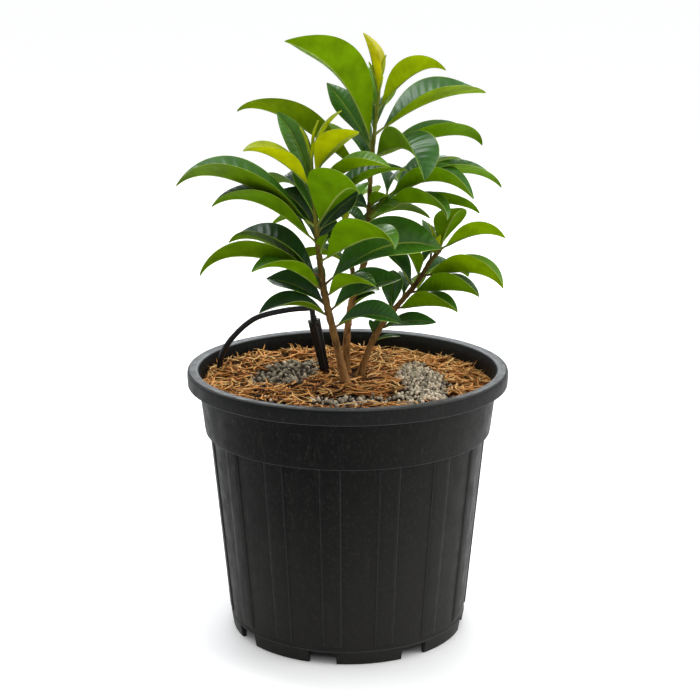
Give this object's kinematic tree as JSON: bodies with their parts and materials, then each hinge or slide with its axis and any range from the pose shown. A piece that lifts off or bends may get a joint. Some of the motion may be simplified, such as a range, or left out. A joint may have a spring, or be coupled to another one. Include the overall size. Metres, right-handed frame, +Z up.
{
  "type": "potted viburnum",
  "caption": "Young viburnum shrub with glossy arching leaves on slender stems, in a black ribbed nursery pot filled with coir-topped mix, with a drip tube on a spike.",
  "frame": {"origin": "on the ground under the pot, on the pot's axis", "axes": "+Z up along the pot's axis, +X to the right and +Y to the back as the picture sees the plant"},
  "size_m": [0.2851, 0.282, 0.526],
  "materials": {
    "pot_plastic": "matte black moulded plastic",
    "coir_mix": "loose coir fibre over potting mix",
    "bark": "thin grey-brown bark, reddish on young wood",
    "leaf": "glossy dark green above, matt yellow-green below",
    "drip_plastic": "satin black flexible plastic"
  },
  "bodies": {
    "root": {"pot": "pot_plastic", "potting_mix": "coir_mix", "drip_tube": "drip_plastic", "drip_spike": "drip_plastic", "stem_left": "bark", "stem_middle": "bark", "stem_right": "bark", "bough_side": "bark", "foliage_left": "leaf", "foliage_middle": "leaf", "foliage_side": "leaf", "foliage_right": "leaf", "foliage_back": "leaf"}
  },
  "joints": []
}
